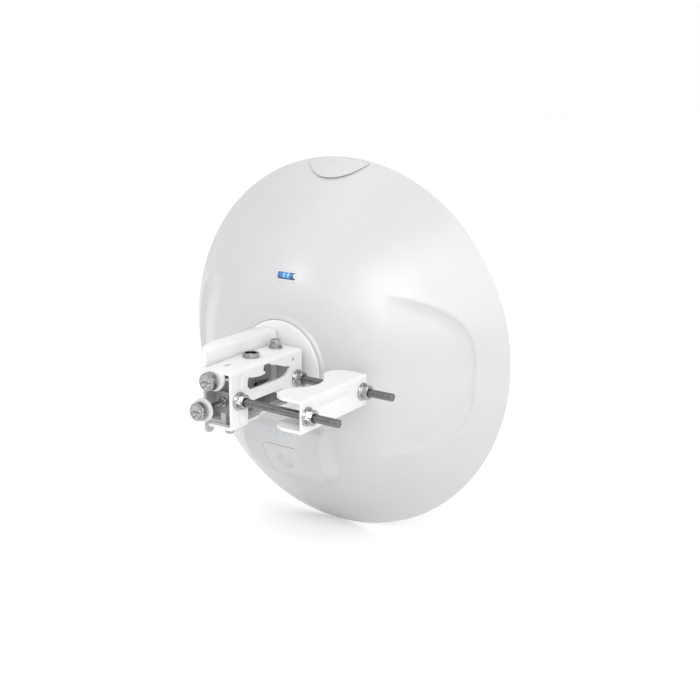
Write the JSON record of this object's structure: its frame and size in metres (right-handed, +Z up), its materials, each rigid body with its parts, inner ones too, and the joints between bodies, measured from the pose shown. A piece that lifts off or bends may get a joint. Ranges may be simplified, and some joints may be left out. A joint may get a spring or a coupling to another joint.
{
  "type": "outdoor wireless bridge",
  "caption": "Point-to-point microwave dish radio with a domed rear shell, hub arm, two-axis fine alignment bracket and pole clamp.",
  "frame": {"origin": "centre of the pole seat, on the outer face of the mounting bracket's strap", "axes": "+X towards the pole, +Y along the beam out of the front of the dish, +Z up"},
  "size_m": [0.43, 0.2664, 0.43],
  "materials": {
    "white_plastic": "satin moulded",
    "white_paint": "satin powder coat",
    "steel": "stainless",
    "aluminium": "plain",
    "dark_plastic": "moulded",
    "rubber": "matt",
    "board": "solder mask",
    "blue_glass": "tinted",
    "clear_glass": "clear moulding"
  },
  "bodies": {
    "pole_mount": {"pole_bracket": "white_paint", "clamp_stud_near": "steel", "clamp_stud_far": "steel", "bracket_nut_near": "steel", "bracket_nut_far": "steel", "pivot_bush_upper": "steel", "pivot_bush_lower": "steel", "ground_screw": "steel", "ground_washer": "steel"},
    "clamp": {"clamp_plate": "white_paint", "clamp_nut_near": "steel", "clamp_nut_far": "steel"},
    "azimuth_drive": {"azimuth_knob": "steel", "azimuth_screw": "steel", "azimuth_screw_clip": "steel"},
    "azimuth_slider": {"azimuth_traveller": "steel"},
    "carrier": {"azimuth_carrier": "white_paint", "azimuth_lock_bolt": "steel", "azimuth_lock_washer": "steel", "azimuth_lock_nut": "steel", "elevation_pivot_bolt": "steel", "elevation_pivot_nut": "steel", "elevation_pivot_washer": "steel", "elevation_lock_bolt": "steel", "elevation_lock_washer": "steel", "elevation_lock_nut": "steel"},
    "elevation_drive": {"elevation_knob": "steel", "elevation_knob_disc": "white_plastic", "elevation_screw": "steel", "elevation_screw_clip": "steel"},
    "elevation_slider": {"elevation_traveller": "steel"},
    "dish": {"tilt_arm": "white_paint", "hub_plate": "white_paint", "hub_backing_ring": "aluminium", "hub_screw_1": "steel", "hub_screw_2": "steel", "hub_screw_3": "steel", "hub_screw_4": "steel", "rear_shell": "white_plastic", "front_radome": "white_plastic", "rim_gasket": "rubber", "main_reflector": "aluminium", "feed_horn": "aluminium", "sub_reflector": "aluminium", "main_board": "board", "heat_spreader": "aluminium", "radio_shield": "steel", "data_jack": "steel", "fibre_cage": "steel", "reset_switch": "dark_plastic", "led_light_pipe": "clear_glass", "level_vial": "blue_glass", "level_cradle": "white_plastic", "antenna_cap": "white_plastic"},
    "cover": {"port_cover": "white_plastic"},
    "reset": {"reset_button": "dark_plastic"}
  },
  "joints": [
    {"name": "clamp_slide", "type": "slide", "parent": "pole_mount", "child": "clamp", "axis": [1, 0, 0], "range_m": [-0.03, 0.024]},
    {"name": "azimuth_turn", "type": "hinge", "parent": "pole_mount", "child": "carrier", "pos_m": [-0.0224, 0, 0], "axis": [0, 0, 1], "range_deg": [-5.5, 5.5]},
    {"name": "azimuth_knob_spin", "type": "hinge", "parent": "pole_mount", "child": "azimuth_drive", "pos_m": [-0.022, -0.06, 0.0194], "axis": [0, 1, 0], "range_deg": [-1400, 1400]},
    {"name": "azimuth_nut_slide", "type": "slide", "parent": "pole_mount", "child": "azimuth_slider", "axis": [0, 1, 0], "range_m": [-0.0039, 0.0039]},
    {"name": "elevation_turn", "type": "hinge", "parent": "carrier", "child": "dish", "pos_m": [-0.04, 0.025, 0.008], "axis": [1, 0, 0], "range_deg": [-7.5, 7.5]},
    {"name": "elevation_knob_spin", "type": "hinge", "parent": "carrier", "child": "elevation_drive", "pos_m": [-0.025, -0.07, -0.0075], "axis": [0, 1, 0], "range_deg": [-740, 740]},
    {"name": "elevation_nut_slide", "type": "slide", "parent": "carrier", "child": "elevation_slider", "axis": [0, 1, 0], "range_m": [-0.0021, 0.0021]},
    {"name": "port_cover_slide", "type": "slide", "parent": "dish", "child": "cover", "axis": [0, 0.4104, -0.9119], "range_m": [0, 0.025]},
    {"name": "reset_press", "type": "slide", "parent": "dish", "child": "reset", "axis": [0, 1, 0], "range_m": [0, 0.0006], "stiffness_N_per_m": 600}
  ],
  "couplings": [
    {"joint": "azimuth_knob_spin", "follows": "azimuth_turn", "ratio": 251.33},
    {"joint": "azimuth_nut_slide", "follows": "azimuth_turn", "m_per_rad": 0.04},
    {"joint": "elevation_knob_spin", "follows": "elevation_turn", "ratio": 97.389},
    {"joint": "elevation_nut_slide", "follows": "elevation_turn", "m_per_rad": 0.0155}
  ]
}
